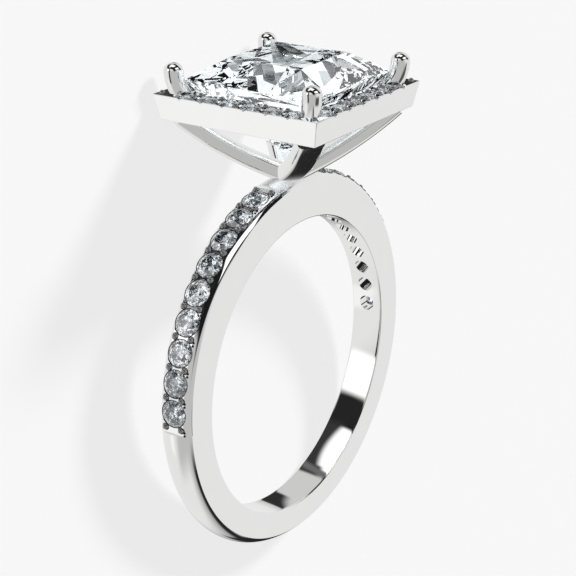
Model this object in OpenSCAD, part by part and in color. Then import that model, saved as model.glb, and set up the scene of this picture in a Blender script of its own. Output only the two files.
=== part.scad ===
// Halo ring lying on its side, in millimetres.
// Each piece is built upright: the finger hole runs along Y and the head points up +Z.
// lie_down() then lays the whole ring on its back, where it rests on the shank and the halo.

/* [Shank] */
// Diameter of the finger hole
finger_bore = 17.3; // [14:0.1:21]
// Width of the band along the finger
band_w = 2; // [1.8:0.1:3]
// Wall of the flat side face under the head
wall_top = 2.17; // [1.9:0.01:2.6]
// Wall of the flat side face at the bottom
wall_bottom = 1.51; // [1.3:0.01:1.9]
// Rise of the rounded outside above the flat side faces
dome_h = 0.46; // [0.3:0.01:0.6]

/* [Stones in the shank] */
// Diameter of each round stone in the shank
shank_stone_d = 1.47; // [1.2:0.01:1.55]
// Metal left between two neighbouring shank stones
shank_stone_gap = 0.165; // [0.12:0.005:0.4]
// Stones on each side of the head
shank_per_side = 9; // [4:1:9]
// Angle from the head to the first stone
shank_first = 17.1; // [16:0.1:20]
// Depth of the flat stone field below the rounded outside
pave_cut = 0.17; // [0.12:0.01:0.22]
// Depth of the stones' girdles below the flat field
shank_sink = 0.06; // [0.03:0.01:0.1]
// Half width of the flat stone field
pave_half = 0.79; // [0.77:0.01:0.9]
// How far the bevel beside the field reaches down the flat side faces
pave_bevel = 0.03; // [0.01:0.01:0.08]
// Diameter of the open hole behind each shank stone
shank_azure_d = 0.94; // [0.6:0.01:1.1]

/* [Centre stone] */
// Side of the square stone at its girdle
centre_w = 7.96; // [7.6:0.02:8.2]
// Height of the girdle's lower edge above the halo's top face
centre_lift = 0.58; // [0.5:0.01:0.9]
// Thickness of the girdle
centre_girdle = 0.1; // [0.06:0.01:0.2]
// Height of the crown above the girdle
centre_crown = 1.08; // [0.9:0.01:1.2]
// Depth of the pavilion below the girdle
centre_pavilion = 4.5; // [4.2:0.05:4.6]
// Side of the square table
centre_table = 4.6; // [4:0.05:5.4]

/* [Halo] */
// Width of the halo at its top edge
halo_top_w = 10.41; // [10.2:0.01:11]
// How far each outer wall leans in from its top edge to its bottom edge
halo_taper = 0.275; // [0.05:0.005:0.35]
// Height of the halo's outer wall
halo_h = 1.43; // [1.3:0.01:1.7]
// Height of the halo's bottom edge above the bore's axis
halo_z = 14.69; // [14.5:0.01:15.2]
// Stones along each side of the halo
halo_per_side = 6; // [5:1:7]
// Metal left between two neighbouring halo stones
halo_stone_gap = 0.196; // [0.15:0.002:0.25]
// Distance from the end stone of a side to the row round the corner
halo_corner_room = 1.09; // [1:0.01:1.15]
// Metal rim outside the halo stones
halo_rim = 0.085; // [0.07:0.005:0.12]
// Metal ledge inside the halo stones
halo_inner = 0.22; // [0.18:0.01:0.3]
// Depth of the halo stones' girdles below the halo's top face
halo_sink = 0.1; // [0.06:0.01:0.14]
// Diameter of the open hole below each halo stone
halo_azure_d = 0.66; // [0.4:0.01:0.7]

/* [Arms and claws] */
// Width of each basket arm
arm_w = 1.45; // [1.1:0.05:1.5]
// Thickness of each basket arm
arm_t = 0.92; // [0.8:0.02:1.1]
// Radius of the arm's rounded edges
arm_edge_r = 0.38; // [0.2:0.01:0.39]
// Radius of the bow that each arm follows
arm_bow_r = 21.55; // [18:0.05:30]
// Height of the arms' middle line above the band's flat side face, on the ring's axis
arm_foot_h = 0.43; // [0.3:0.01:0.6]
// Distance of the arm's middle line from the halo's bottom corner
arm_head_in = 1.17; // [1:0.01:1.3]
// Diameter of each claw
claw_d = 1.04; // [0.9:0.01:1.1]
// Diameter of each claw where it joins its arm
claw_foot_d = 0.84; // [0.7:0.01:0.9]
// Space between the corner of the centre stone and the claw's middle line
claw_out = 0.58; // [0.5:0.01:0.65]
// Depth of the claws' tops below the centre stone's table
claw_drop = 0.13; // [0:0.01:0.2]
// Height of the claw's domed tip
claw_dome_h = 0.42; // [0.3:0.01:0.53]
// Radius of the claw's bend
claw_bend_r = 2.1; // [1.5:0.05:3]
// Lean of the claw's lower part from upright
claw_lean = 33; // [28:1:36]

/* [Beads] */
// Diameter of the beads between the shank stones
shank_bead_d = 0.46; // [0.42:0.01:0.5]
// Distance of the shank beads from the band's middle
shank_bead_y = 0.5; // [0.46:0.01:0.52]
// Diameter of the beads between the halo stones
halo_bead_d = 0.38; // [0.3:0.01:0.4]
// Distance of the halo beads from the stones' middle line
halo_bead_y = 0.38; // [0.36:0.01:0.4]
// Inset of the halo's corner beads from its top edges
corner_bead_in = 0.37; // [0.3:0.01:0.45]
// Height of the beads' round centres above the metal around them
bead_lift = 0.04; // [0:0.01:0.08]

/* [Fit] */
// Clearance between each stone and its seat
seat_gap = 0.03; // [0.02:0.005:0.05]

/* [Hidden] */
$fn = 72;
eps = 0.01;
bright_ledge = 0.02;
// Difference in radius where two parts of a claw meet
claw_joint = 0.01;
metal_colour = "gainsboro";
diamond_colour = "aliceblue";

// Cut proportions of the round stones, as shares of the stone's radius
round_table = 0.57;
round_crown = 0.296;
round_pavilion = 0.862;
round_girdle = 0.05;
round_star = 0.763;
round_lower = 0.23;

// The mid-side points of the square stone, as shares of its half width and of its crown or pavilion
crown_mid = [0.81, 0.55];
pavilion_mid = [[0.76, 0.38], [0.51, 0.645], [0.25, 0.85]];

// Band circle, its raised centre and the flat field for the stones
bore_r = finger_bore / 2;
band_r = (finger_bore + wall_top + wall_bottom) / 2;
band_lift = (wall_top - wall_bottom) / 2;
dome_r = (band_w * band_w / 4 + dome_h * dome_h) / (2 * dome_h);
field_r = band_r + dome_h - pave_cut;
shank_girdle_r = field_r - shank_sink;
shank_pitch = 2 * asin((shank_stone_d + shank_stone_gap) / 2 / shank_girdle_r);
field_margin = 1.6;
field_end = shank_first + (shank_per_side - 0.5) * shank_pitch + field_margin;

// Halo: its stones fill each side between the corners
halo_top_z = halo_z + halo_h;
halo_bottom_w = halo_top_w - 2 * halo_taper;
halo_side = halo_top_w / 2 - halo_rim - halo_corner_room - (halo_per_side - 1) / 2 * halo_stone_gap;
halo_stone_d = halo_side / (halo_per_side / 2);
halo_pitch = halo_stone_d + halo_stone_gap;
halo_row = halo_top_w / 2 - halo_rim - halo_stone_d / 2;
halo_opening = 2 * (halo_row - halo_stone_d / 2 - halo_inner);
halo_girdle_z = halo_top_z - halo_sink;

// Centre stone
centre_z = halo_top_z + centre_lift;
centre_table_z = centre_z + centre_girdle + centre_crown;

// Arm bow: its circle passes through the foot on the ring's axis and the point below the halo's corner
arm_foot_z = band_r + band_lift + arm_foot_h;
arm_head_s = halo_bottom_w / sqrt(2) - arm_head_in;
arm_chord = norm([arm_head_s, halo_z - arm_foot_z]);
arm_sag = sqrt(arm_bow_r * arm_bow_r - arm_chord * arm_chord / 4);
bow_s = arm_head_s / 2 - arm_sag * (halo_z - arm_foot_z) / arm_chord;
bow_z = (arm_foot_z + halo_z) / 2 + arm_sag * arm_head_s / arm_chord;
arm_from = asin(-bow_s / arm_bow_r) - 1.5;
arm_to = asin((arm_head_s - bow_s) / arm_bow_r) + 1.6;

// Claw path in the diagonal plane
claw_r = claw_d / 2;
claw_ball_r = claw_r + claw_joint;
claw_overlap = 5 * claw_joint;
claw_s = centre_w / sqrt(2) + claw_out;
claw_bend_z = centre_table_z - claw_drop - claw_dome_h;
claw_knee = [claw_s - claw_bend_r * (1 - cos(claw_lean)), claw_bend_z - claw_bend_r * sin(claw_lean)];
claw_down = [-sin(claw_lean), -cos(claw_lean)];
claw_from_bow = claw_knee - [bow_s, bow_z];
claw_leg = -claw_from_bow * claw_down
    + sqrt(pow(claw_from_bow * claw_down, 2) + arm_bow_r * arm_bow_r - claw_from_bow * claw_from_bow);

// Resting pose: tilt about X, then the box's bottom centre goes to the origin
rest_tilt = atan((halo_top_w / 2 - band_w / 2) / (halo_top_z + band_r - band_lift));
rest_low = -band_w / 2 * cos(rest_tilt) - (band_r - band_lift) * sin(rest_tilt);
claw_reach = claw_s / sqrt(2) * sin(rest_tilt) + claw_bend_z * cos(rest_tilt)
    + norm([claw_ball_r * sin(rest_tilt), claw_dome_h * cos(rest_tilt)]);
shank_reach = (band_r + dome_h - dome_r - band_lift) * cos(rest_tilt) + dome_r;
rest_shift = (claw_reach - shank_reach) / 2;

shank_total = 2 * shank_per_side;
halo_total = 4 * halo_per_side;
function two_digits(n) = str(n < 10 ? "0" : "", n);
function shank_name(i) = str("shank_stone_", two_digits(i + 1));
function halo_name(i) = str("halo_stone_", two_digits(i + 1));

function circle_points(count, r, z, turn) =
    [for (i = [0 : count - 1]) [r * cos(turn + i * 360 / count), r * sin(turn + i * 360 / count), z]];

// Angle of a shank stone from the head: the first half of them lies on the +X side
function shank_angle(i) =
    (i < shank_per_side ? 1 : -1) * (shank_first + (i % shank_per_side) * shank_pitch);

// Place along its side of one halo stone
function halo_along(i) = (i % halo_per_side - (halo_per_side - 1) / 2) * halo_pitch;

module lie_down() {
    translate([0, -rest_shift, -rest_low]) rotate([rest_tilt - 90, 0, 0]) children();
}

// Turns a shape built about Z so that it runs about the finger hole, with angle 0 at the head
module about_band() {
    translate([0, 0, band_lift]) rotate([90, 0, 0]) rotate([0, 0, 90]) children();
}

// Puts a shape on the band at an angle from the head, with its own Z pointing outward
module on_band(angle, r) {
    translate([0, 0, band_lift]) rotate([0, angle, 0]) translate([0, 0, r]) children();
}

module on_each_diagonal() {
    for (k = [0 : 3]) rotate([0, 0, 45 + 90 * k]) children();
}

// Round brilliant with its girdle's middle at z = 0: table, star, kite and girdle facets above,
// long halves and mains down to a point below
module brilliant(d) {
    r = d / 2;
    g = round_girdle * r / 2;
    crown_z = g + round_crown * r;
    star_z = g + round_crown * r * (1 - round_star * cos(22.5)) / (1 - round_table);
    lower_z = -g - round_pavilion * r * (1 - round_lower * cos(22.5));
    points = concat(
        circle_points(8, round_table * r, crown_z, 0),
        circle_points(8, round_star * r, star_z, 22.5),
        circle_points(16, r, g, 0),
        circle_points(16, r, -g, 0),
        circle_points(8, round_lower * r, lower_z, 22.5),
        [[0, 0, -g - round_pavilion * r]]
    );
    star = 8;
    top = 16;
    bottom = 32;
    lower = 48;
    culet = 56;
    faces = concat(
        [[7, 6, 5, 4, 3, 2, 1, 0]],
        [for (i = [0 : 7]) [i, (i + 1) % 8, star + i]],
        [for (i = [0 : 7]) [star + (i + 7) % 8, i, star + i, top + 2 * i]],
        [for (i = [0 : 7]) [star + i, top + 2 * i + 1, top + 2 * i]],
        [for (i = [0 : 7]) [star + i, top + (2 * i + 2) % 16, top + 2 * i + 1]],
        [for (i = [0 : 15]) [top + i, top + (i + 1) % 16, bottom + (i + 1) % 16, bottom + i]],
        [for (i = [0 : 7]) [lower + i, bottom + 2 * i, bottom + 2 * i + 1]],
        [for (i = [0 : 7]) [lower + i, bottom + 2 * i + 1, bottom + (2 * i + 2) % 16]],
        [for (i = [0 : 7]) [culet, lower + (i + 7) % 8, bottom + 2 * i, lower + i]]
    );
    polyhedron(points = points, faces = faces);
}

// Seat of a round stone with its clearance, and where asked the open hole below it down to a depth
module seat(d, hole_d = 0, depth = 0) {
    r = d / 2 + seat_gap;
    g = round_girdle * d / 4 + seat_gap;
    hole_r = hole_d / 2;
    hole_z = -g - round_pavilion * (r - hole_r);
    hole = hole_d > 0 ? [[0, -depth], [hole_r, -depth]] : [];
    rotate_extrude()
        polygon(concat(hole, [
            [hole_r, hole_z],
            [r, -g],
            [r, g],
            [round_table * r, g + round_crown * r],
            [0, g + round_crown * r]
        ]));
}

// Flared cut above a round stone's girdle, up to height h over it
module bright_cut(d, h) {
    r = d / 2 + seat_gap + bright_ledge;
    cylinder(h = h, r1 = r, r2 = r + h);
}

// Bead with a domed top, standing on a surface at z = 0
module bead(d) {
    translate([0, 0, bead_lift]) sphere(d = d);
    translate([0, 0, -d]) cylinder(h = d + bead_lift, d = d);
}

// Square stone with its girdle's lower edge at z = 0
module princess() {
    h = centre_w / 2;
    t = centre_table / 2;
    top = centre_girdle;
    count = len(pavilion_mid);
    table = circle_points(4, t * sqrt(2), top + centre_crown, 45);
    girdle_top = circle_points(4, h * sqrt(2), top, 45);
    girdle_bottom = circle_points(4, h * sqrt(2), 0, 45);
    crown_points = circle_points(4, h * crown_mid[0], top + centre_crown * crown_mid[1], 90);
    mids = [for (m = pavilion_mid) each circle_points(4, h * m[0], -centre_pavilion * m[1], 90)];
    points = concat(table, girdle_top, girdle_bottom, crown_points, mids, [[0, 0, -centre_pavilion]]);
    culet = 16 + 4 * count;
    crown_faces = [
        for (k = [0 : 3])
            let (n = (k + 1) % 4)
            each [[k, n, 12 + k], [n, 4 + n, 12 + k], [4 + n, 4 + k, 12 + k], [4 + k, k, 12 + k]]
    ];
    girdle_faces = [for (k = [0 : 3]) [4 + k, 4 + (k + 1) % 4, 8 + (k + 1) % 4, 8 + k]];
    pavilion_faces = [
        for (k = [0 : 3])
            let (n = (k + 1) % 4, first = 16 + k)
            each concat(
                [[8 + k, 8 + n, first]],
                [for (m = [0 : count - 2]) each
                    [[8 + k, first + 4 * m, first + 4 * m + 4], [8 + n, first + 4 * m + 4, first + 4 * m]]],
                [[8 + k, first + 4 * count - 4, culet], [8 + n, culet, first + 4 * count - 4]]
            )
    ];
    polyhedron(
        points = points,
        faces = concat([[3, 2, 1, 0]], crown_faces, girdle_faces, pavilion_faces)
    );
}

// Profile of the space that the square stone needs, in x and z
module princess_profile() {
    h = centre_w / 2 + seat_gap;
    t = centre_table / 2 + seat_gap;
    first = pavilion_mid[0];
    polygon([
        [-t, centre_girdle + centre_crown + seat_gap],
        [-h, centre_girdle + seat_gap],
        [-h, -seat_gap],
        [-h * first[0], -centre_pavilion * first[1] - seat_gap],
        [0, -centre_pavilion - seat_gap],
        [h * first[0], -centre_pavilion * first[1] - seat_gap],
        [h, -seat_gap],
        [h, centre_girdle + seat_gap],
        [t, centre_girdle + centre_crown + seat_gap]
    ]);
}

module square_form(length) {
    intersection() {
        rotate([90, 0, 0]) linear_extrude(height = length, center = true) children();
        rotate([90, 0, 90]) linear_extrude(height = length, center = true) children();
    }
}

module place_shank_stone(i) {
    on_band(shank_angle(i), shank_girdle_r) children();
}

module place_halo_stone(i) {
    rotate([0, 0, 90 * floor(i / halo_per_side)])
        translate([halo_along(i), -halo_row, halo_girdle_z])
            children();
}

// Rounded band profile: a dome between two flat side faces
module band_profile() {
    inner_r = bore_r - wall_bottom;
    translate([inner_r, -band_w / 2]) square([band_r - inner_r, band_w]);
    intersection() {
        translate([band_r + dome_h - dome_r, 0]) circle(r = dome_r);
        translate([band_r - eps, -band_w / 2]) square([dome_h + 1, band_w]);
    }
}

// What is cut away to make the flat field and the bevels beside it
module field_profile() {
    far = band_r + dome_h + 1;
    side = band_w / 2 + 1;
    edge_r = band_r - pave_bevel;
    polygon([
        [field_r, -pave_half],
        [edge_r, -band_w / 2],
        [edge_r, -side],
        [far, -side],
        [far, side],
        [edge_r, side],
        [edge_r, band_w / 2],
        [field_r, pave_half]
    ]);
}

module shank_beads() {
    for (side = [-1, 1], y = [-shank_bead_y, shank_bead_y], i = [0 : shank_per_side])
        on_band(side * (shank_first + (i - 0.5) * shank_pitch), field_r)
            translate([0, y, 0])
                bead(shank_bead_d);
}

module shank() {
    difference() {
        about_band() rotate_extrude() band_profile();
        about_band() rotate([0, 0, -field_end]) rotate_extrude(angle = 2 * field_end) field_profile();
        for (i = [0 : shank_total - 1])
            place_shank_stone(i) bright_cut(shank_stone_d, shank_sink + dome_h);
    }
}

module halo_frame() {
    difference() {
        square_form(2 * halo_top_w)
            polygon([
                [-halo_bottom_w / 2, halo_z],
                [halo_bottom_w / 2, halo_z],
                [halo_top_w / 2, halo_top_z],
                [-halo_top_w / 2, halo_top_z]
            ]);
        translate([0, 0, halo_z + halo_h / 2]) cube([halo_opening, halo_opening, halo_h + 1], center = true);
        for (i = [0 : halo_total - 1])
            place_halo_stone(i) {
                bright_cut(halo_stone_d, halo_sink + eps);
                translate([0, 0, -halo_h]) cylinder(h = halo_h, d = halo_azure_d);
            }
    }
}

module halo_beads() {
    for (k = [0 : 3]) rotate([0, 0, 90 * k]) {
        for (j = [1 : halo_per_side - 1], y = [-halo_bead_y, halo_bead_y])
            translate([(j - halo_per_side / 2) * halo_pitch, -halo_row + y, halo_top_z]) bead(halo_bead_d);
        translate([halo_top_w / 2 - corner_bead_in, corner_bead_in - halo_top_w / 2, halo_top_z])
            bead(halo_bead_d);
    }
}

module arm_profile() {
    x = arm_t / 2 - arm_edge_r;
    y = arm_w / 2 - arm_edge_r;
    translate([arm_bow_r, 0]) {
        square([arm_t, 2 * y], center = true);
        square([2 * x, arm_w], center = true);
        for (a = [-x, x], b = [-y, y]) translate([a, b]) circle(r = arm_edge_r);
    }
}

module arm() {
    translate([bow_s, 0, bow_z])
        rotate([90, 0, 0])
            rotate([0, 0, arm_from - 90])
                rotate_extrude(angle = arm_to - arm_from)
                    arm_profile();
}

module claw() {
    translate([claw_s, 0, claw_bend_z]) scale([1, 1, claw_dome_h / claw_ball_r]) sphere(r = claw_ball_r);
    translate([claw_s - claw_bend_r, 0, claw_bend_z])
        rotate([90, 0, 0])
            rotate([0, 0, -claw_lean])
                rotate_extrude(angle = claw_lean)
                    translate([claw_bend_r, 0])
                        circle(r = claw_r);
    translate([claw_knee[0], 0, claw_knee[1]]) {
        sphere(r = claw_ball_r);
        rotate([0, 180 + claw_lean, 0])
            translate([0, 0, -claw_overlap])
                cylinder(h = claw_leg + claw_overlap, r1 = claw_r - claw_joint, r2 = claw_foot_d / 2);
    }
}

module ring_mount() {
    color(metal_colour)
        lie_down()
            difference() {
                union() {
                    shank();
                    halo_frame();
                    on_each_diagonal() {
                        arm();
                        claw();
                    }
                    shank_beads();
                    halo_beads();
                }
                rotate([90, 0, 0]) cylinder(h = 2 * band_w, r = bore_r, center = true);
                for (i = [0 : shank_total - 1])
                    place_shank_stone(i) seat(shank_stone_d, shank_azure_d, wall_top + dome_h);
                for (i = [0 : halo_total - 1]) place_halo_stone(i) seat(halo_stone_d);
                translate([0, 0, centre_z]) square_form(2 * centre_w) princess_profile();
            }
}

module centre_stone() {
    color(diamond_colour) lie_down() translate([0, 0, centre_z]) princess();
}

module shank_stone(i) {
    color(diamond_colour) lie_down() place_shank_stone(i) brilliant(shank_stone_d);
}

module halo_stone(i) {
    color(diamond_colour) lie_down() place_halo_stone(i) brilliant(halo_stone_d);
}

ring_mount();
centre_stone();
for (i = [0 : shank_total - 1])
    shank_stone(i);
for (i = [0 : halo_total - 1])
    halo_stone(i);
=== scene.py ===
import math

import bmesh
import bpy
from mathutils import Euler, Matrix, Vector


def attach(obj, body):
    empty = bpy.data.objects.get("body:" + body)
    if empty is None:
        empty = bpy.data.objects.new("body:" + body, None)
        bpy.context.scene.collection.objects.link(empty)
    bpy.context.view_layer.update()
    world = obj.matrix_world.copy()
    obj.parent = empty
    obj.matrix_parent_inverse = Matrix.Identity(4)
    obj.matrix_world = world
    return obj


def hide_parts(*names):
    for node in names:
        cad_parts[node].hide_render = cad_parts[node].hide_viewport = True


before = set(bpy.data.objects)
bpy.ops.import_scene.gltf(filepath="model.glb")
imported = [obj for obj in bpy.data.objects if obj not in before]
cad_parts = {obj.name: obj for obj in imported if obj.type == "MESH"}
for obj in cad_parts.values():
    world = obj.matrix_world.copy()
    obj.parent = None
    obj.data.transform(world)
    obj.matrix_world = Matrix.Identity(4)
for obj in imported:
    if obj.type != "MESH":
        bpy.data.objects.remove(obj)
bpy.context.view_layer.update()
print("frame loaded")

millimetre = 0.001  # in metres

# Sizes in millimetres, in the upright ring: finger hole along Y, head up +Z
ring = {
    "bore": 8.65,  # radius of the finger hole
    "bandWidth": 2.0,
    "bandRadius": 10.49,  # to the edges of the band's domed outside
    "bandLift": 0.33,  # height of the outside's centre over that of the finger hole
    "dome": 0.46,  # how far the outside rises from its edges to its middle
    "field": 10.78,  # radius of the flat field that holds the stones
    "haloTop": 16.12,
    "haloHalf": 5.205,
    "clearance": 0.03,  # between a stone and the metal
    "restShift": 3.862950,  # from the finger hole to the middle of the lying ring
}
bandHalf = ring["bandWidth"] / 2
bandEdge = ring["bandRadius"] + ring["bandLift"]
bandCentre = (0, 0, ring["bandLift"])
sharpAngle = 30.0  # degrees between two faces from which their edge looks sharp

# The ring lies on the lowest edge of the band and on the halo's back edge
restLength = ring["haloTop"] + ring["bandRadius"] - ring["bandLift"]
restTilt = math.atan((ring["haloHalf"] - bandHalf) / restLength)
restLow = -bandHalf * math.cos(restTilt) - (ring["bandRadius"] - ring["bandLift"]) * math.sin(restTilt)


def restMatrix():
    turn = Matrix.Rotation(restTilt - math.pi / 2, 4, "X")
    return Matrix.Scale(millimetre, 4) @ Matrix.Translation((0, -ring["restShift"], -restLow)) @ turn


def onBand(angle, radius):
    return (
        Matrix.Translation(bandCentre)
        @ Matrix.Rotation(math.radians(angle), 4, "Y")
        @ Matrix.Translation((0, 0, radius))
    )


def quarters(first=0):
    return [Matrix.Rotation(math.radians(first + 90 * k), 4, "Z") for k in range(4)]


def addObject(name, data):
    made = bpy.data.objects.new(name, data)
    bpy.context.collection.objects.link(made)
    return made


def asMesh(bm, name):
    mesh = bpy.data.meshes.new(name)
    bm.to_mesh(mesh)
    bm.free()
    return mesh


def newPiece(name, bm):
    bmesh.ops.recalc_face_normals(bm, faces=bm.faces[:])
    return addObject(name, asMesh(bm, name))


def stamp(bm, mesh, places):
    for place in places:
        first = len(bm.verts)
        bm.from_mesh(mesh)
        bm.verts.ensure_lookup_table()
        bmesh.ops.transform(bm, matrix=place, verts=bm.verts[first:])


def stamped(name, mesh, places):
    bm = bmesh.new()
    stamp(bm, mesh, places)
    return newPiece(name, bm)


# A part turn keeps the profile as a face, so that both ends are closed
def revolve(points, steps, turn=360.0, axis=(0, 0, 1), centre=(0, 0, 0)):
    bm = bmesh.new()
    face = bm.faces.new([bm.verts.new(point) for point in points])
    whole = turn >= 360
    bmesh.ops.spin(
        bm,
        geom=bm.verts[:] + bm.edges[:] + ([] if whole else [face]),
        cent=centre,
        axis=axis,
        angle=math.radians(turn),
        steps=steps,
        use_merge=whole,
    )
    if whole:
        bm.faces.remove(face)
    bmesh.ops.remove_doubles(bm, verts=bm.verts[:], dist=1e-5)
    bmesh.ops.recalc_face_normals(bm, faces=bm.faces[:])
    return bm


def turned(profile, steps, name):
    return asMesh(revolve([(r, 0, z) for r, z in profile], steps), name)


# Circles joined to one skin, open at both ends
def loft(places, radii, around):
    bm = bmesh.new()
    loops = [
        bmesh.ops.create_circle(bm, segments=around, radius=radius, matrix=place)["verts"]
        for place, radius in zip(places, radii)
    ]
    edges = [list(dict.fromkeys(e for v in loop for e in v.link_edges)) for loop in loops]
    for upper, lower in zip(edges, edges[1:]):
        bmesh.ops.bridge_loops(bm, edges=upper + lower)
    return bm, loops, edges


def carve(piece, cutters):
    for cutter in cutters:
        cut = piece.modifiers.new("cut", "BOOLEAN")
        cut.operation = "DIFFERENCE"
        cut.solver = "EXACT"
        cut.object = cutter
    graph = bpy.context.evaluated_depsgraph_get()
    carved = bpy.data.meshes.new_from_object(piece.evaluated_get(graph))
    piece.modifiers.clear()
    piece.data = carved
    for cutter in cutters:
        bpy.data.objects.remove(cutter)


def finishPiece(piece, look, seenThroughStones=True):
    piece.data.transform(restMatrix())
    piece.data.materials.clear()
    piece.data.materials.append(materials[look])
    piece.data.polygons.foreach_set("use_smooth", [True] * len(piece.data.polygons))
    piece.data.set_sharp_from_angle(angle=math.radians(sharpAngle))
    weight = piece.modifiers.new("flat faces", "WEIGHTED_NORMAL")
    weight.mode = "FACE_AREA"
    weight.keep_sharp = True
    # The metal mirrors the soft boxes, not itself, and throws no light patches on the floor
    piece.visible_glossy = False
    piece.visible_diffuse = False
    piece.visible_transmission = seenThroughStones
    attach(piece, "root")
    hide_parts("ring_mount")


def addNode(tree, kind, settings, inputs, output):
    node = tree.nodes.new("ShaderNode" + kind)
    for key, value in settings.items():
        setattr(node, key, value)
    for key, value in inputs.items():
        if isinstance(value, bpy.types.NodeSocket):
            tree.links.new(value, node.inputs[key])
        else:
            node.inputs[key].default_value = value
    return node.outputs[output]


def colour(code):
    channels = [int(code[i : i + 2], 16) / 255 for i in (1, 3, 5)]
    return [c / 12.92 if c <= 0.04045 else ((c + 0.055) / 1.055) ** 2.4 for c in channels] + [1]


# How finely the noises are drawn, and how hard the cells of painted facet reflections part dark from light
pattern = {"patchDetail": 3.0, "markDetail": 2.0, "cellContrast": (0.2, 0.8)}


# A mask of one where each value is past the end of its range, of zero where any is before its start
def softMask(tree, ranges):
    mask = 1.0
    for value, start, end in ranges:
        smooth = {"interpolation_type": "SMOOTHSTEP"}
        inputs = {"Value": value, "From Min": start, "From Max": end}
        inside = addNode(tree, "MapRange", smooth, inputs, "Result")
        mask = addNode(tree, "Math", {"operation": "MULTIPLY"}, {0: mask, 1: inside}, "Value")
    return mask


def millimetres(tree):
    place = addNode(tree, "TexCoord", {}, {}, "Object")
    return addNode(tree, "VectorMath", {"operation": "SCALE"}, {0: place, "Scale": 1 / millimetre}, "Vector")


def millimetreNoise(tree, scale, detail):
    inputs = {"Vector": millimetres(tree), "Scale": scale, "Detail": detail}
    return addNode(tree, "TexNoise", {}, inputs, "Fac")


# Painted reflections of small facets: each cell has a shade of its own, and most are either dark or light
def paintedFacetCells(tree, scale):
    cells = addNode(tree, "TexVoronoi", {}, {"Vector": millimetres(tree), "Scale": scale}, "Color")
    shade = addNode(tree, "SeparateColor", {}, {"Color": cells}, "Red")
    return softMask(tree, [(shade, *pattern["cellContrast"])])


# A mask between two places along the lying ring's Y
def lengthZone(tree, rise, fall):
    along = addNode(tree, "SeparateXYZ", {}, {"Vector": millimetres(tree)}, "Y")
    return softMask(tree, [(along, *rise), (along, *fall)])


def makeMaterial(name, look):
    material = bpy.data.materials.new(name)
    material.use_nodes = True
    tree = material.node_tree
    shader = tree.nodes["Principled BSDF"]
    for key, value in look["shader"].items():
        shader.inputs[key].default_value = value

    patches = millimetreNoise(tree, look["patchScale"], pattern["patchDetail"])
    low, high = look["roughness"]
    roughness = addNode(tree, "MapRange", {}, {"Value": patches, "To Min": low, "To Max": high}, "Result")
    if "satin" in look:
        zone = lengthZone(tree, *look["satin"]["zone"])
        inputs = {"Factor": zone, "A": roughness, "B": look["satin"]["roughness"]}
        roughness = addNode(tree, "Mix", {"data_type": "FLOAT"}, inputs, "Result")
    tree.links.new(roughness, shader.inputs["Roughness"])

    mask = paintedFacetCells(tree, look["cells"]) if "cells" in look else patches
    first, second = (colour(code) for code in look["colours"])
    tint = addNode(tree, "Mix", {"data_type": "RGBA"}, {"Factor": mask, "A": first, "B": second}, "Result")
    tree.links.new(tint, shader.inputs["Base Color"])

    if "marks" in look:
        scale, depth = look["marks"]
        height = millimetreNoise(tree, scale, pattern["markDetail"])
        inputs = {"Height": height, "Strength": 1.0, "Distance": depth * millimetre}
        tree.links.new(addNode(tree, "Bump", {}, inputs, "Normal"), shader.inputs["Normal"])
    return material


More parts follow.
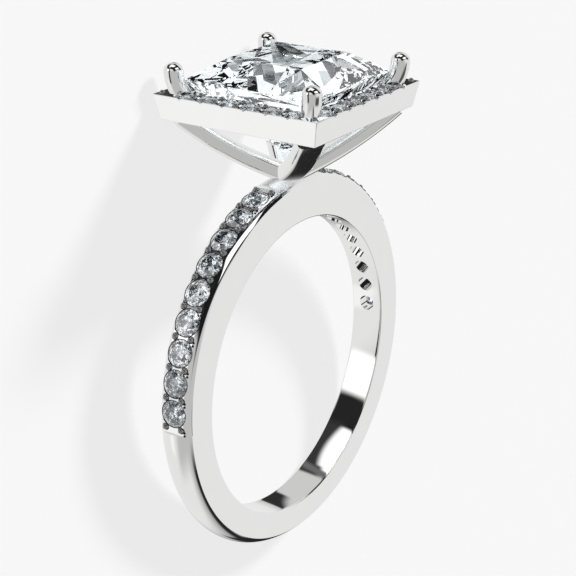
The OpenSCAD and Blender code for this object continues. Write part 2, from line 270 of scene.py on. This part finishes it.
# Pattern scales are per millimetre. Marks are a scale and a depth in millimetres. A satin zone has its
# own roughness, and rises and falls between places in millimetres along the lying ring's Y
looks = {
    # rhodium finished white gold, polished: a mirror with a very faint haze and hair-fine waves;
    # satin on top of the band under the head, where no polishing wheel reaches
    "polishedWhiteGold": {
        "shader": {"Metallic": 1.0},
        "colours": ("#efefef", "#f3f3f2"),
        "roughness": (0.015, 0.045),
        "satin": {"zone": ((6.6, 6.9), (8.6, 8.0)), "roughness": 0.3},
        "patchScale": 0.9,
        "marks": (0.8, 0.0002),
    },
    # bars of the basket and legs of the claws, hard to reach with a wheel: satin, so what they mirror
    # is soft; their colour is painted a little darker than the polished gold's, as painted shade; the zone
    # is that of the claw tips, which are polished
    "satinGoldPaintedShade": {
        "shader": {"Metallic": 1.0},
        "colours": ("#ebebea", "#f0f0ef"),
        "roughness": (0.08, 0.13),
        "satin": {"zone": ((12.8, 13.2), (20.0, 19.0)), "roughness": 0.03},
        "patchScale": 0.9,
        "marks": (0.8, 0.0002),
    },
    # small prongs: the same white gold, painted clearly greyer than the hand polished faces as painted shade
    # for the dark they mirror, so each one shows
    "beadGoldPaintedShade": {
        "shader": {"Metallic": 1.0},
        "colours": ("#8e8e8d", "#9a9a99"),
        "roughness": (0.02, 0.06),
        "patchScale": 6.0,
        "marks": (5.0, 0.0003),
    },
    # painted shade for the seats' walls and the gaps round the stones and beads: dark and dull, so each
    # stone has a dark outline
    "paintedSeatShade": {
        "shader": {"Metallic": 1.0},
        "colours": ("#1e1f20", "#343536"),
        "roughness": (0.35, 0.55),
        "patchScale": 9.0,
        "marks": (12.0, 0.002),
    },
    # colourless diamond: clear and bright, with hardly visible polishing haze
    "clearDiamond": {
        "shader": {"IOR": 2.417, "Transmission Weight": 1.0},
        "colours": ("#f4fafc", "#eef6fa"),
        "roughness": (0.0, 0.004),
        "patchScale": 1.5,
    },
    # small diamonds: the dark and light that their many small facets mirror is painted into their colour as
    # cells of 0.2 mm, drawn coarser than the real ones; together they look grey and a little blue
    "smallDiamondPaintedSparkle": {
        "shader": {"IOR": 2.417, "Transmission Weight": 1.0},
        "colours": ("#1a2126", "#f7fcff"),
        "roughness": (0.0, 0.004),
        "patchScale": 3.0,
        "cells": 5.0,
    },
    # halo diamonds: smaller and deeper in their row, so more in shade: painted darker than those of the
    # band, with painted facet reflections in cells
    "haloDiamondPaintedShade": {
        "shader": {"IOR": 2.417, "Transmission Weight": 1.0},
        "colours": ("#020303", "#b6bec2"),
        "roughness": (0.0, 0.004),
        "patchScale": 3.0,
        "cells": 5.0,
    },
    # matt pale board under the ring, with a fine paper grain
    "paleBoard": {
        "shader": {"Emission Color": (1, 1, 1, 1), "Emission Strength": 0.58},
        "colours": ("#f3f3f3", "#f5f5f5"),
        "roughness": (0.85, 0.95),
        "patchScale": 0.4,
        "marks": (3.0, 0.002),
    },
}
materials = {name: makeMaterial(name, look) for name, look in looks.items()}
print("materials made")

# Round stones, as shares of their radius
cut = {"table": 0.57, "crown": 0.296, "pavilion": 0.862, "girdle": 0.05}
# Sides of the turned forms, and how far a seat's cutter stands out over the metal
turning = {"seat": 40, "space": 32, "bead": 28, "rim": 40, "disc": 20, "above": 0.6, "overlap": 0.01}
beadArcs = range(0, 80, 9)  # degrees up a bead's dome, without its pole


# Radius and half girdle of the space that a stone takes up with its gap
def stoneRoom(diameter):
    return diameter / 2 + ring["clearance"], cut["girdle"] * diameter / 4 + ring["clearance"]


def seatCutter(diameter, holeRadius, depth, flare):
    r, g = stoneRoom(diameter)
    profile = [
        (0, -depth),
        (holeRadius, -depth),
        (holeRadius, -g - cut["pavilion"] * (r - holeRadius)),
        (r, -g),
        (r, turning["overlap"]),
        (r + flare, flare + turning["overlap"]),
        (r + flare, flare + turning["above"]),
        (0, flare + turning["above"]),
    ]
    return turned(profile, turning["seat"], "seatCutter")


def stoneSpace(diameter):
    r, g = stoneRoom(diameter)
    profile = [
        (0, -g - cut["pavilion"] * r),
        (r, -g),
        (r, g),
        (cut["table"] * r, g + cut["crown"] * r),
        (0, g + cut["crown"] * r),
    ]
    return turned(profile, turning["space"], "stoneSpace")


# A bead is a dome on a stem that is sunk in the metal
def beadMesh(diameter, lift):
    r = diameter / 2
    dome = [(r * math.cos(a), lift + r * math.sin(a)) for a in map(math.radians, beadArcs)]
    profile = [(0, -diameter), (r, -diameter)] + dome + [(0, lift + r)]
    return turned(profile, turning["bead"], "bead")


# Band
band = {
    "steps": 288,
    "domeSteps": 24,
    "inner": 7.0,  # radius of the blank that the finger hole is cut out of
    "rim": 0.08,  # rounding of the finger hole's edges
    "rimAngle": 15,  # degrees between its steps
    "crown": 0.02,  # how much narrower the finger hole is in its middle
    "crownSteps": 8,
    "fieldHalf": 0.79,  # half the width of its flat
    "fieldBevel": 0.03,  # how far the band's edge is lowered beside it
    "fieldMargin": 1.6,  # degrees past the last stones
    "fieldSteps": 64,
    "pastSide": 1.0,  # how far the cutters stand out
    "pastTop": 2.0,
    "stone": 1.47,
    "gap": 0.165,  # between stones
    "perSide": 9,
    "first": 17.1,  # degrees from the head to the first stone
    "sink": 0.06,  # of the stones' girdles under the field
    "hole": 0.47,  # radius of the open hole behind a stone
    "seatDepth": 3.2,
    "seatFlare": 0.09,
    "beadSize": 0.32,
    "beadSide": 0.5,  # from the band's middle line
    "beadLift": 0.03,
    "dotSize": 0.13,
    "dotSide": 0.7,
    "dots": (0.11, 0.28),  # along the band, from a bead
}
girdleRadius = ring["field"] - band["sink"]
stonePitch = math.degrees(2 * math.asin((band["stone"] + band["gap"]) / 2 / girdleRadius))
fieldStart = band["first"] - 0.5 * stonePitch - band["fieldMargin"]
fieldEnd = band["first"] + (band["perSide"] - 0.5) * stonePitch + band["fieldMargin"]
stoneAngles = [side * (band["first"] + i * stonePitch) for side in (1, -1) for i in range(band["perSide"])]
bandStones = [onBand(angle, girdleRadius) for angle in stoneAngles]


def bandBlank():
    domeRadius = (bandHalf**2 + ring["dome"] ** 2) / (2 * ring["dome"])
    domeCentre = bandEdge + ring["dome"] - domeRadius
    reach = math.asin(bandHalf / domeRadius)
    dome = [
        (0, domeRadius * math.sin(a), domeCentre + domeRadius * math.cos(a))
        for a in [reach * (1 - 2 * i / band["domeSteps"]) for i in range(band["domeSteps"] + 1)]
    ]
    outline = [(0, -bandHalf, band["inner"]), (0, bandHalf, band["inner"])] + dome
    return newPiece("band", revolve(outline, band["steps"], axis=(0, 1, 0), centre=bandCentre))


# The stone field on each side stops before the head and leaves a thin bevel on both edges
def fieldCutters():
    low = bandEdge - band["fieldBevel"]
    flat = ring["field"] + ring["bandLift"]
    far = bandEdge + band["pastTop"]
    past = bandHalf + band["pastSide"]
    right = [(0, past, far), (0, past, low), (0, bandHalf, low), (0, band["fieldHalf"], flat)]
    left = [(x, -y, z) for x, y, z in reversed(right)]
    fields = []
    for start in (fieldStart, -fieldEnd):
        turn = onBand(start, 0) @ Matrix.Translation((0, 0, -ring["bandLift"]))
        points = [turn @ Vector(point) for point in left + right]
        field = revolve(points, band["fieldSteps"], fieldEnd - fieldStart, axis=(0, 1, 0), centre=bandCentre)
        fields.append(newPiece("field", field))
    return fields


# The finger hole, a little barrel shaped for comfort, with softly rounded edges
def boreCutter():
    rim, steps = band["rim"], band["crownSteps"]
    mouth = ring["bore"] + band["crown"]
    arcs = [math.radians(angle) for angle in range(0, 91, band["rimAngle"])]
    lip = [(mouth + rim * (1 - math.sin(a)), rim * (1 - math.cos(a))) for a in arcs]
    barrel = [i / steps for i in range(steps - 1, -steps, -1)]
    past = bandHalf + band["pastSide"]
    hole = [(0, past), (lip[0][0], past)]
    hole += [(r, bandHalf - depth) for r, depth in lip]
    hole += [(ring["bore"] + band["crown"] * k * k, (bandHalf - rim) * k) for k in barrel]
    hole += [(r, depth - bandHalf) for r, depth in reversed(lip)]
    hole += [(lip[0][0], -past), (0, -past)]
    return newPiece("boreCutter", revolve([(r, y, 0) for r, y in hole], band["steps"], axis=(0, 1, 0)))


# Every second seat goes into one cutter, so that no two in a cutter meet
def seatCutters(seat, places):
    return [stamped("seats", seat, places[i::2]) for i in (0, 1)]


def makeBand():
    body = bandBlank()
    fields = fieldCutters()
    seat = seatCutter(band["stone"], band["hole"], band["seatDepth"], band["seatFlare"])
    carve(body, [boreCutter()] + fields + seatCutters(seat, bandStones))
    return body


# The middle of each gap between stones, with the side of the head that it lies on
def bandGaps():
    return [
        (side, onBand(side * (band["first"] + (i - 0.5) * stonePitch), ring["field"]))
        for side in (1, -1)
        for i in range(band["perSide"] + 1)
    ]


def bandBeads():
    sides = [Matrix.Translation((0, y * band["beadSide"], 0)) for y in (-1, 1)]
    return [gap @ side for _, gap in bandGaps() for side in sides]


def makeBandBeads():
    beads = stamped("bandBeads", beadMesh(band["beadSize"], band["beadLift"]), bandBeads())
    carve(beads, [stamped("spaces", stoneSpace(band["stone"]), bandStones)])
    return beads


# Halo
halo = {
    "bottomHalf": 4.93,
    "bottom": 14.69,
    "opening": 3.72,  # half its width
    "openingReach": 3.0,  # how far its cutter goes up and down from the halo's middle
    "edge": 0.05,  # rounding of the outer edges
    "edgeSteps": 4,
    "stone": 1.18,
    "perSide": 6,
    "pitch": 1.376,
    "rim": 0.085,  # from the stones to the halo's edge
    "sink": 0.1,
    "hole": 0.33,
    "seatDepth": 2.0,
    "seatFlare": 0.12,
    "beadSize": 0.30,
    "beadSide": 0.38,
    "beadLift": 0.03,
    "cornerIn": 0.37,  # from the halo's edges to the bead in a corner
}
haloRow = ring["haloHalf"] - halo["rim"] - halo["stone"] / 2
haloGirdle = ring["haloTop"] - halo["sink"]
haloStones = [
    turn @ Matrix.Translation(((i - (halo["perSide"] - 1) / 2) * halo["pitch"], -haloRow, haloGirdle))
    for turn in quarters()
    for i in range(halo["perSide"])
]


def makeHalo():
    bm = bmesh.new()
    bmesh.ops.create_cube(bm, size=2)
    for v in bm.verts:
        top = v.co.z > 0
        side = ring["haloHalf"] if top else halo["bottomHalf"]
        v.co = (v.co.x * side, v.co.y * side, ring["haloTop"] if top else halo["bottom"])
    bmesh.ops.bevel(
        bm,
        geom=bm.edges[:],
        offset=halo["edge"],
        offset_type="OFFSET",
        segments=halo["edgeSteps"],
        profile=0.5,
        affect="EDGES",
        material=-1,
    )
    body = newPiece("haloFrame", bm)

    bm = bmesh.new()
    middle = Matrix.Translation((0, 0, (ring["haloTop"] + halo["bottom"]) / 2))
    size = Matrix.Diagonal((halo["opening"], halo["opening"], halo["openingReach"], 1))
    bmesh.ops.create_cube(bm, size=2, matrix=middle @ size)
    opening = newPiece("opening", bm)

    seat = seatCutter(halo["stone"], halo["hole"], halo["seatDepth"], halo["seatFlare"])
    carve(body, [opening] + seatCutters(seat, haloStones))
    return body


# Two beads in each gap between stones and one in each corner
def haloBeads():
    corner = ring["haloHalf"] - halo["cornerIn"]
    places = []
    for turn in quarters():
        for i in range(1, halo["perSide"]):
            along = (i - halo["perSide"] / 2) * halo["pitch"]
            for y in (-halo["beadSide"], halo["beadSide"]):
                places.append(turn @ Matrix.Translation((along, y - haloRow, ring["haloTop"])))
        places.append(turn @ Matrix.Translation((corner, -corner, ring["haloTop"])))
    return places


def makeHaloBeads():
    beads = stamped("haloBeads", beadMesh(halo["beadSize"], halo["beadLift"]), haloBeads())
    carve(beads, [stamped("spaces", stoneSpace(halo["stone"]), haloStones)])
    return beads


# Painted shade: dark rings round each stone and round each bead, where the gaps fall into shade, and dark
# dots beside the front beads
paintedShade = {
    "inside": 0.003,  # between a stone's girdle and its rim
    "bandWidth": 0.035,
    "haloWidth": 0.07,
    "height": 0.03,
    "slope": 0.01,
    "beadRim": 0.05,
    "haloBeadRim": 0.06,
    "rise": 0.012,
    "depth": 0.05,
}


def rimMesh(diameter, width):
    inner, height = diameter / 2 + paintedShade["inside"], paintedShade["height"]
    profile = [(inner, 0), (inner + width, 0), (inner + width, height), (inner, height - paintedShade["slope"])]
    return turned(profile, turning["rim"], "rim")


def discMesh(diameter):
    r = diameter / 2
    profile = [(0, -paintedShade["depth"]), (r, -paintedShade["depth"]), (r, 0), (0, paintedShade["rise"])]
    return turned(profile, turning["disc"], "disc")


def makePaintedShade():
    dots = [
        gap @ Matrix.Translation((side * x, -band["dotSide"], 0))
        for side, gap in bandGaps()
        for x in band["dots"]
    ]
    bm = bmesh.new()
    stamp(bm, rimMesh(band["stone"], paintedShade["bandWidth"]), bandStones)
    stamp(bm, rimMesh(halo["stone"], paintedShade["haloWidth"]), haloStones)
    stamp(bm, discMesh(band["beadSize"] + 2 * paintedShade["beadRim"]), bandBeads())
    stamp(bm, discMesh(halo["beadSize"] + 2 * paintedShade["haloBeadRim"]), haloBeads())
    stamp(bm, discMesh(band["dotSize"]), dots)
    return newPiece("paintedShade", bm)


# Arms of the basket: each bows from the top of the band out to a corner of the halo
arms = {
    "width": 1.45,
    "thickness": 0.92,
    "round": 0.3,
    "bow": 21.55,  # radius of the bow
    "foot": 0.43,  # height of the bow over the band's edges
    "headIn": 1.17,  # from the halo's lower corner to the bow, along the diagonal
    "into": 0.5,  # degrees that the bow goes on into the halo
    "cornerSteps": 8,
    "steps": 48,
}


# Middle of the bow in the plane of an arm, and the angles at which it starts and ends
def bowCentre():
    foot = (0, bandEdge + arms["foot"])
    head = (halo["bottomHalf"] * math.sqrt(2) - arms["headIn"], halo["bottom"])
    chord = math.hypot(head[0], head[1] - foot[1])
    sag = math.sqrt(arms["bow"] ** 2 - chord**2 / 4)
    s = head[0] / 2 - sag * (head[1] - foot[1]) / chord
    z = (foot[1] + head[1]) / 2 + sag * head[0] / chord
    start = math.degrees(math.asin(-s / arms["bow"]))
    end = math.degrees(math.asin((head[0] - s) / arms["bow"])) + arms["into"]
    return s, z, start, end


def makeArms():
    s, z, start, end = bowCentre()
    x = arms["thickness"] / 2 - arms["round"]
    y = arms["width"] / 2 - arms["round"]
    section = []
    for quarter, (cx, cy) in enumerate(((x, y), (-x, y), (-x, -y), (x, -y))):
        for i in range(arms["cornerSteps"] + 1):
            a = math.radians(90 * quarter + 90 * i / arms["cornerSteps"])
            section.append((cx + arms["round"] * math.cos(a), cy + arms["round"] * math.sin(a)))
    a = math.radians(start)
    out = Vector((math.sin(a), 0, -math.cos(a)))
    points = [Vector((s, 0, z)) + out * (arms["bow"] + px) + Vector((0, py, 0)) for px, py in section]
    arm = revolve(points, arms["steps"], end - start, axis=(0, -1, 0), centre=(s, 0, z))
    return stamped("arms", asMesh(arm, "arm"), quarters(45))


# Claws: a domed tip, a bend inwards and a leg that grows out of the arm
claws = {
    "radius": 0.53,
    "footRadius": 0.28,
    "axis": 6.209,  # from the ring's middle to the tip's, along the diagonal
    "dome": 0.42,  # height of the tip over domeZ
    "domeZ": 17.33,
    "domeSteps": 12,
    "bend": 2.1,  # radius
    "bendSteps": 14,
    "lean": 33.0,  # degrees from upright
    "leg": 3.1,
    "legSteps": 6,
    "around": 40,
}
# The centre stone, as it is cut out of the claws with its gap: heights over and under its girdle line
centreStone = {
    "z": 16.70,
    "half": 3.98,
    "tableHalf": 2.3,
    "table": 1.21,
    "crown": 0.13,
    "girdle": -0.03,
    "breakShare": 0.76,  # of the half width, where the pavilion gets flatter
    "break": -1.74,
    "tip": -4.53,
    "tipHalf": 0.01,
}


def clawStations():
    r, dome = claws["radius"], claws["dome"]
    stations = []
    for i in range(1, claws["domeSteps"] + 1):
        a = math.radians(90 / claws["domeSteps"] * i)
        stations.append((claws["axis"], claws["domeZ"] + dome * math.cos(a), 0.0, r * math.sin(a)))
    s, z = claws["axis"] - claws["bend"], claws["domeZ"]
    for i in range(1, claws["bendSteps"] + 1):
        lean = math.radians(claws["lean"] * i / claws["bendSteps"])
        stations.append((s + claws["bend"] * math.cos(lean), z - claws["bend"] * math.sin(lean), lean, r))
    s, z, lean, _ = stations[-1]
    for i in range(1, claws["legSteps"] + 1):
        along = claws["leg"] * i / claws["legSteps"]
        radius = r + (claws["footRadius"] - r) * i / claws["legSteps"]
        stations.append((s - along * math.sin(lean), z - along * math.cos(lean), lean, radius))
    return stations


def centreSpace():
    half = centreStone["half"] + ring["clearance"]
    levels = [
        (centreStone["tableHalf"] + ring["clearance"], centreStone["table"]),
        (half, centreStone["crown"]),
        (half, centreStone["girdle"]),
        (half * centreStone["breakShare"], centreStone["break"]),
        (centreStone["tipHalf"], centreStone["tip"]),
    ]
    square = Matrix.Rotation(math.radians(45), 4, "Z")
    places = [Matrix.Translation((0, 0, centreStone["z"] + height)) @ square for _, height in levels]
    bm, loops, _ = loft(places, [width * math.sqrt(2) for width, _ in levels], 4)
    bm.faces.new(loops[0])
    bm.faces.new(loops[-1])
    return newPiece("centreSpace", bm)


def makeClaws():
    stations = clawStations()
    places = [Matrix.Translation((s, 0, z)) @ Matrix.Rotation(lean, 4, "Y") for s, z, lean, _ in stations]
    bm, loops, edges = loft(places, [station[3] for station in stations], claws["around"])
    bm.faces.new(loops[-1])
    top = bm.verts.new((claws["axis"], 0, claws["domeZ"] + claws["dome"]))
    for edge in edges[0]:
        bm.faces.new((*edge.verts, top))
    bmesh.ops.recalc_face_normals(bm, faces=bm.faces[:])
    made = stamped("claws", asMesh(bm, "claw"), quarters(45))
    carve(made, [centreSpace(), stamped("spaces", stoneSpace(halo["stone"]), haloStones)])
    return made


finishPiece(makeBand(), "polishedWhiteGold")
finishPiece(makeBandBeads(), "beadGoldPaintedShade")
# the dark rings and dots round the stones and beads are painted shade
finishPiece(makePaintedShade(), "paintedSeatShade")
print("band made")
# The centre stone shows the room, not the metal below it
finishPiece(makeHalo(), "polishedWhiteGold", seenThroughStones=False)
finishPiece(makeHaloBeads(), "beadGoldPaintedShade", seenThroughStones=False)
finishPiece(makeArms(), "satinGoldPaintedShade", seenThroughStones=False)
finishPiece(makeClaws(), "satinGoldPaintedShade", seenThroughStones=False)
print("head made")

# The small and halo stones have painted facet reflections in their colour, the halo's also painted shade
stoneLooks = {"centre": "clearDiamond", "shank": "smallDiamondPaintedSparkle", "halo": "haloDiamondPaintedShade"}
for name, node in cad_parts.items():
    if name != "ring_mount":
        node.data.materials.clear()
        node.data.materials.append(materials[stoneLooks[name.split("_")[0]]])
        node.visible_diffuse = False  # the stones too throw no light patches on the floor
print("stones dressed")

floorHalf = 0.6  # metres


def makeFloor():
    bm = bmesh.new()
    bmesh.ops.create_grid(bm, x_segments=1, y_segments=1, size=floorHalf)
    floor = newPiece("floor", bm)
    floor.data.materials.append(materials["paleBoard"])
    floor.visible_glossy = False  # the metal and the stones mirror the soft boxes instead
    floor.visible_transmission = False


# Studio: what the metal and the stones mirror, as soft boxes and dark flags in given directions.
# A panel is azimuth, elevation, half width, half height, roll and softness in degrees, and brightness
studio = {
    "base": 0.86,
    "panels": [
        (200, 30, 33, 48, 0, 22, 0.56),
        (215, -40, 8, 8, 0, 5, 1.0),
        (92, 26, 42, 47, 0, 8, 0.012),
        (143, 49, 14, 15, 0, 8, 0.012),
        (26, 47, 17, 10, 0, 5, 0.012),
        (278, 55, 20, 9, 0, 6, 0.09),
        (84, 53, 18, 11, 0, 3, 1.5),
        (86, 0, 13, 18, 0, 3, 1.6),
        (40, -26, 27, 14, 0, 8, 0.66),
        (25, -29.5, 9, 5, 0, 3, 0.03),
        (94, -14, 17, 8, 0, 3, 1.2),
        (92, -33, 24, 12, 0, 3, 0.04),
        (71, -19, 2.5, 9, 12, 4, 0.16),
        (124.5, -20, 10.5, 11, 0, 8, 0.02),
        (158, -6, 20, 6.5, 0, 3, 0.02),
        (188, -14, 18, 8, 0, 3, 0.02),
        (153, -24, 13.5, 9, 0, 8, 1.5),
        (313, -10, 17, 18, 0, 6, 0.02),
        (311, 5, 8, 14, 0, 5, 0.02),
    ],
    # What shows through the stones: a bright room with a dark place for each dark facet
    "stoneBase": 1.5,
    "stonePanels": [
        (249, -18, 7, 6, 0, 3, 0.10),
        (271, -9, 8, 6, 0, 3, 0.02),
        (283, 11, 7, 6, 0, 3, 0.30),
        (46, 66, 9, 7, 0, 3, 0.01),
        (331, -8, 4.5, 7, 0, 2, 0.05),
        (323, -7, 4, 6, 0, 2, 0.30),
        (81, 45, 8, 8, 0, 3, 0.08),
        (89, 80, 3.5, 3.5, 0, 2, 0.05),
        (165, 80, 4.5, 3, 0, 2, 0.15),
        (177, -28, 9, 7, 0, 3, 0.12),
        (227, -65, 8, 8, 0, 3, 0.05),
        (105, -19, 6, 6, 0, 3, 0.02),
        (344, 43, 7, 7, 0, 3, 0.08),
        (116, -38, 7, 7, 0, 3, 0.12),
        (323, -22, 5, 5, 0, 3, 0.30),
        (84, 1, 6, 6, 0, 3, 0.35),
        (139, 24, 9, 7, 0, 3, 0.42),
        (152, -64, 8, 6, 0, 3, 0.60),
        (273, -70, 10, 6, 0, 3, 0.65),
        (13, -7, 5, 5, 0, 3, 0.30),
        (82, -22, 10, 4, 0, 3, 0.60),
        (129, 45, 6, 6, 0, 3, 0.50),
        (41, 86, 4, 3, 0, 2, 0.40),
    ],
    # A long dark streak round the studio, on the plane square to its pole. Its edges are ranges of the
    # sine of the height over that plane, its ends a range of the cosine of the angle from its middle
    "streak": {
        "pole": (192, -47.7),
        "middle": (275, 5),
        "ends": (0.3, 0.6),
        "sharpEdge": (-0.09, -0.03),
        "fadingEdge": (0.42, 0.05),
        "fadingShade": 0.40,
        "coreEdge": (0.13, 0.03),
        "coreShade": 0.02,
    },
    "panelFront": (0.0, 0.2),  # a panel shows in the half of the room that it is in
    "sun": {"azimuth": 35, "elevation": 32, "angle": 11, "strength": 0.75},
    "even": 0.26,  # light on the floor
    "seen": 0.93,  # paper behind the floor's far edge
    "bounces": {"max_bounces": 24, "transmission_bounces": 24, "glossy_bounces": 10},
}


def towards(azimuth, elevation):
    a, e = math.radians(azimuth), math.radians(elevation)
    return Vector((math.cos(a) * math.cos(e), math.sin(a) * math.cos(e), math.sin(e)))


def addPanel(tree, light, ray, azimuth, elevation, width, height, roll, soft, shade):
    centre = towards(azimuth, elevation)
    across = Matrix.Rotation(math.radians(roll), 3, centre) @ towards(azimuth - 90, 0)
    dot = {"operation": "DOT_PRODUCT"}
    ranges = [(addNode(tree, "VectorMath", dot, {0: ray, 1: centre}, "Value"), *studio["panelFront"])]
    for axis, half in ((across, width), (centre.cross(across), height)):
        along = addNode(tree, "VectorMath", dot, {0: ray, 1: axis}, "Value")
        side = addNode(tree, "Math", {"operation": "ABSOLUTE"}, {0: along}, "Value")
        outer, inner = (math.sin(math.radians(half + step)) for step in (soft / 2, -soft / 2))
        ranges.append((side, outer, inner))
    inputs = {"Factor": softMask(tree, ranges), "A": light, "B": shade}
    return addNode(tree, "Mix", {"data_type": "FLOAT"}, inputs, "Result")


def addStreak(tree, light, ray):
    streak = studio["streak"]
    dot = {"operation": "DOT_PRODUCT"}
    height = addNode(tree, "VectorMath", dot, {0: ray, 1: towards(*streak["pole"])}, "Value")
    near = addNode(tree, "VectorMath", dot, {0: ray, 1: towards(*streak["middle"])}, "Value")
    for part in ("fading", "core"):
        ranges = [(height, *streak["sharpEdge"]), (height, *streak[part + "Edge"]), (near, *streak["ends"])]
        inputs = {"Factor": softMask(tree, ranges), "A": light, "B": streak[part + "Shade"]}
        light = addNode(tree, "Mix", {"data_type": "FLOAT"}, inputs, "Result")
    return light


def makeWorld():
    world = bpy.data.worlds.new("studio")
    world.use_nodes = True
    world.cycles.sampling_method = "NONE"
    bpy.context.scene.world = world
    tree = world.node_tree
    ray = addNode(tree, "TexCoord", {}, {}, "Generated")
    light = addStreak(tree, studio["base"], ray)
    for panel in studio["panels"]:
        light = addPanel(tree, light, ray, *panel)
    stoneLight = studio["stoneBase"]
    for panel in studio["stonePanels"]:
        stoneLight = addPanel(tree, stoneLight, ray, *panel)
    # The stones let another room through, the floor gets even light and the camera sees plain paper
    others = {
        "Is Transmission Ray": stoneLight,
        "Is Diffuse Ray": studio["even"],
        "Is Camera Ray": studio["seen"],
    }
    for kind, other in others.items():
        inputs = {"Factor": addNode(tree, "LightPath", {}, {}, kind), "A": light, "B": other}
        light = addNode(tree, "Mix", {"data_type": "FLOAT"}, inputs, "Result")
    tree.links.new(light, tree.nodes["Background"].inputs["Color"])


# One large lamp for the soft shadow on the floor
def makeSun():
    settings = studio["sun"]
    sun = bpy.data.lights.new("keyLight", "SUN")
    sun.energy = settings["strength"]
    sun.angle = math.radians(settings["angle"])
    lamp = addObject("keyLight", sun)
    direction = towards(settings["azimuth"], settings["elevation"])
    lamp.matrix_world = direction.to_track_quat("Z", "Y").to_matrix().to_4x4()
    lamp.visible_glossy = False


# The photo's own view of the ring, laid on its side with it
view = {
    "place": (-74.0275, 26.8069, 57.7914),
    "turn": (-5.2009, -55.0778, -13.1767),  # degrees about X, Y and Z
    "lens": 105.94,
    "sensor": 36,
    "nearest": 5,
}


def makeCamera():
    data = bpy.data.cameras.new("camera")
    data.lens = view["lens"]
    data.sensor_width = view["sensor"]
    data.clip_start = view["nearest"] * millimetre
    camera = addObject("camera", data)
    turn = Euler([math.radians(angle) for angle in view["turn"]])
    camera.matrix_world = Matrix.LocRotScale(Vector(view["place"]) * millimetre, turn, None)
    bpy.context.scene.camera = camera


makeFloor()
makeWorld()
makeSun()
makeCamera()
scene = bpy.context.scene
scene.view_settings.view_transform = "Standard"
for setting, count in studio["bounces"].items():
    setattr(scene.cycles, setting, count)  # light turns many times inside a stone
print("studio and camera set")
